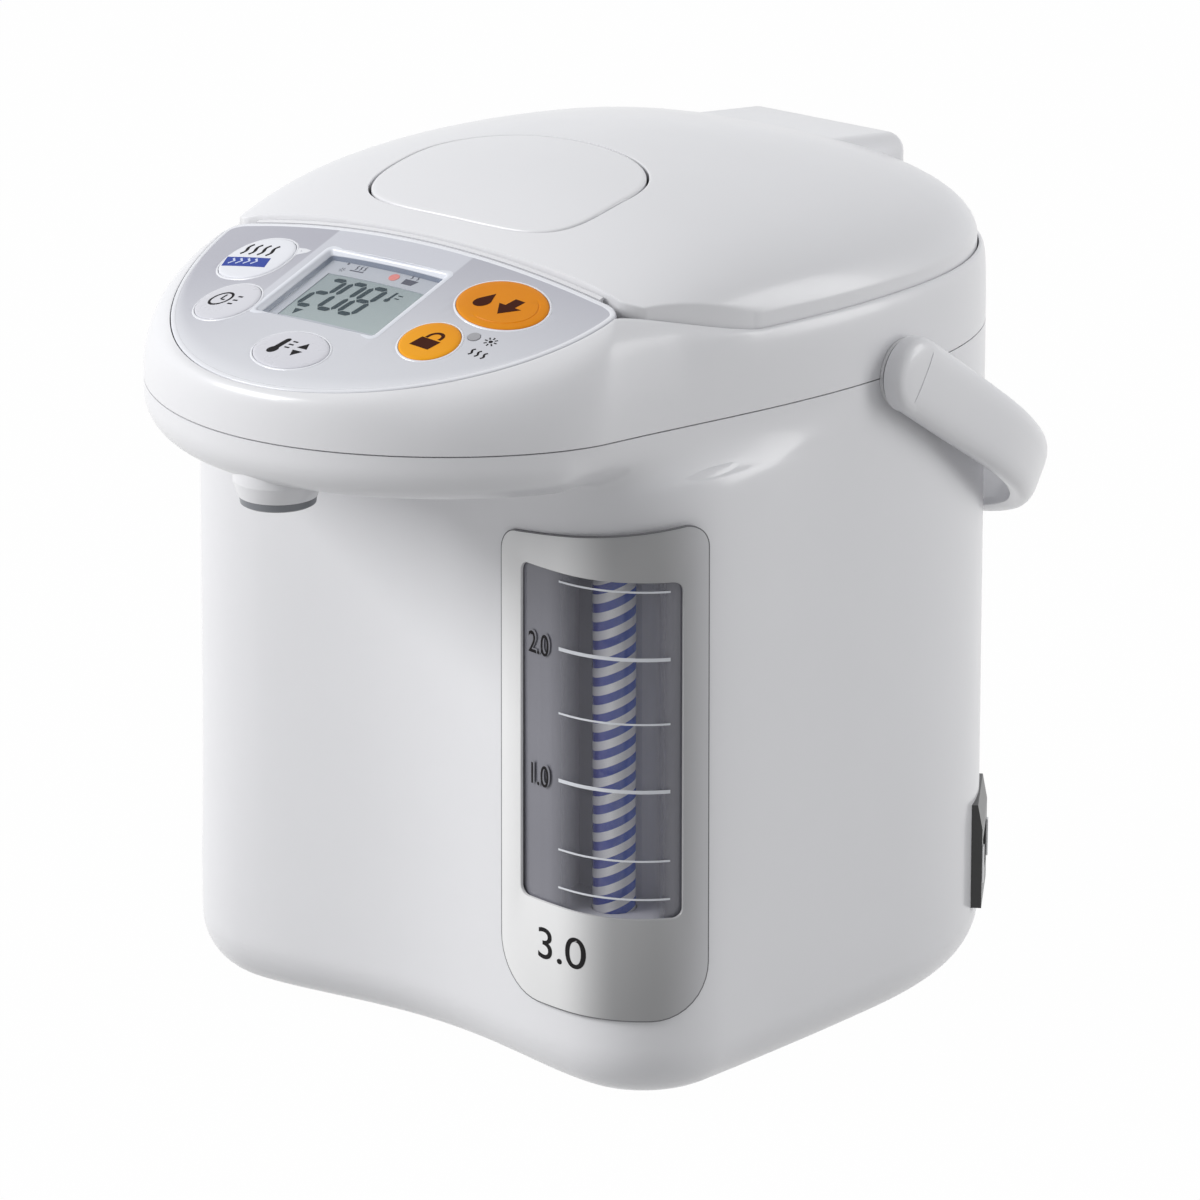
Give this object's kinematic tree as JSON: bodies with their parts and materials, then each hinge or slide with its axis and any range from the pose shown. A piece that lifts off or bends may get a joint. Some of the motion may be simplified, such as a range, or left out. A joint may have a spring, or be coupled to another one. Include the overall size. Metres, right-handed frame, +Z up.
{
  "type": "electric thermo pot",
  "caption": "Countertop water boiler with a pump spout under a beak, a hinged lid, a corner water gauge and a carrying bail.",
  "frame": {"origin": "table level, under the middle of the overall box, which runs from the beak's tip to the stowed handle", "axes": "+Z up, -Y towards the beak and spout, +X towards the water gauge"},
  "size_m": [0.224, 0.2924, 0.269],
  "materials": {
    "white_plastic": "glossy moulded",
    "pale_plastic": "satin moulded",
    "grey_plastic": "satin moulded",
    "black_plastic": "satin moulded",
    "silver_plastic": "silver painted, satin",
    "key_white": "translucent, satin",
    "key_orange": "translucent, satin",
    "smoked_window": "clear, grey tint",
    "clear_glass": "clear",
    "stripe_sheet": "printed diagonal stripes",
    "lcd_green": "liquid crystal",
    "rubber": "matt",
    "pale_rubber": "silicone, matt",
    "steel": "bare",
    "zinc": "bare",
    "brass": "bare",
    "copper_rotor": "lacquered",
    "board_green": "solder mask"
  },
  "bodies": {
    "root": {"body_shell": "white_plastic", "head_cover": "white_plastic", "nozzle": "white_plastic", "key_deck": "white_plastic", "bottom_plate": "pale_plastic", "chassis": "pale_plastic", "mouth_collar": "pale_plastic", "pump_housing": "pale_plastic", "riser_pipe": "pale_plastic", "delivery_pipe": "pale_plastic", "tip_valve": "pale_plastic", "handle_pivots": "pale_plastic", "gauge_backplate": "grey_plastic", "nozzle_ring": "grey_plastic", "slow_light": "grey_plastic", "plug_receptacle": "black_plastic", "gauge_frame": "silver_plastic", "panel_plate": "silver_plastic", "lcd_frame": "silver_plastic", "gauge_window": "smoked_window", "lcd_lens": "smoked_window", "gauge_tube": "clear_glass", "gauge_stripes": "stripe_sheet", "lcd_module": "lcd_green", "rubber_feet": "rubber", "gauge_joints": "rubber", "suction_pipe": "rubber", "dome_sheet": "pale_rubber", "base_screws": "steel", "inner_container": "steel", "rim_packing": "steel", "hinge_bracket": "steel", "hinge_pin": "steel", "magnet_plate": "steel", "heat_shield": "steel", "motor_case": "steel", "heater_plate": "zinc", "receptacle_pins": "brass", "thermistor": "brass", "thermal_fuse": "brass", "control_board": "board_green", "power_board": "board_green"},
    "lid": {"lid_cover": "white_plastic", "lid_liner": "pale_plastic", "lid_gasket": "pale_rubber", "steam_cap": "pale_plastic", "lever_cup": "pale_plastic", "lever_pin": "steel"},
    "lever": {"lid_lever": "white_plastic"},
    "latch": {"latch_hooks": "pale_plastic"},
    "bail": {"handle": "white_plastic"},
    "impeller": {"pump_impeller": "pale_plastic"},
    "rotor": {"motor_rotor": "copper_rotor"},
    "ball": {"valve_ball": "steel"},
    "key_reboil_cap": {"key_reboil": "key_white"},
    "key_timer_cap": {"key_timer": "key_white"},
    "key_temp_cap": {"key_temp": "key_white"},
    "key_unlock_cap": {"key_unlock": "key_orange"},
    "key_dispense_cap": {"key_dispense": "key_orange"}
  },
  "joints": [
    {"name": "lid_hinge", "type": "hinge", "parent": "root", "child": "lid", "pos_m": [0, 0.11678, 0.246], "axis": [-1, 0, 0], "range_deg": [0, 95]},
    {"name": "lever_lift", "type": "hinge", "parent": "lid", "child": "lever", "pos_m": [0, -0.01822, 0.26129], "axis": [-1, 0, 0], "range_deg": [0, 20], "stiffness_Nm_per_rad": 0.05, "springref_deg": -5.73},
    {"name": "latch_slide", "type": "slide", "parent": "lid", "child": "latch", "axis": [0, 1, 0], "range_m": [0, 0.004]},
    {"name": "bail_swing", "type": "hinge", "parent": "root", "child": "bail", "pos_m": [0, 0.03178, 0.21], "axis": [1, 0, 0], "range_deg": [0, 122]},
    {"name": "rotor_spin", "type": "hinge", "parent": "root", "child": "rotor", "pos_m": [0.03, -0.00422, 0.015], "axis": [0, 0, 1], "continuous": true},
    {"name": "impeller_spin", "type": "hinge", "parent": "root", "child": "impeller", "pos_m": [0.03, -0.00422, 0.033], "axis": [0, 0, 1], "continuous": true},
    {"name": "ball_rise", "type": "slide", "parent": "root", "child": "ball", "axis": [0, 0, 1], "range_m": [0, 0.0025]},
    {"name": "key_reboil_press", "type": "slide", "parent": "root", "child": "key_reboil_cap", "axis": [0, 0.3322, -0.9432], "range_m": [0, 0.0008], "stiffness_N_per_m": 400, "springref_m": -0.0005},
    {"name": "key_timer_press", "type": "slide", "parent": "root", "child": "key_timer_cap", "axis": [0, 0.3322, -0.9432], "range_m": [0, 0.0008], "stiffness_N_per_m": 400, "springref_m": -0.0005},
    {"name": "key_temp_press", "type": "slide", "parent": "root", "child": "key_temp_cap", "axis": [0, 0.3322, -0.9432], "range_m": [0, 0.0008], "stiffness_N_per_m": 400, "springref_m": -0.0005},
    {"name": "key_unlock_press", "type": "slide", "parent": "root", "child": "key_unlock_cap", "axis": [0, 0.3322, -0.9432], "range_m": [0, 0.0008], "stiffness_N_per_m": 400, "springref_m": -0.0005},
    {"name": "key_dispense_press", "type": "slide", "parent": "root", "child": "key_dispense_cap", "axis": [0, 0.3322, -0.9432], "range_m": [0, 0.0008], "stiffness_N_per_m": 400, "springref_m": -0.0005}
  ],
  "couplings": [
    {"joint": "latch_slide", "follows": "lever_lift", "m_per_rad": 0.011},
    {"joint": "impeller_spin", "follows": "rotor_spin", "ratio": 1}
  ]
}
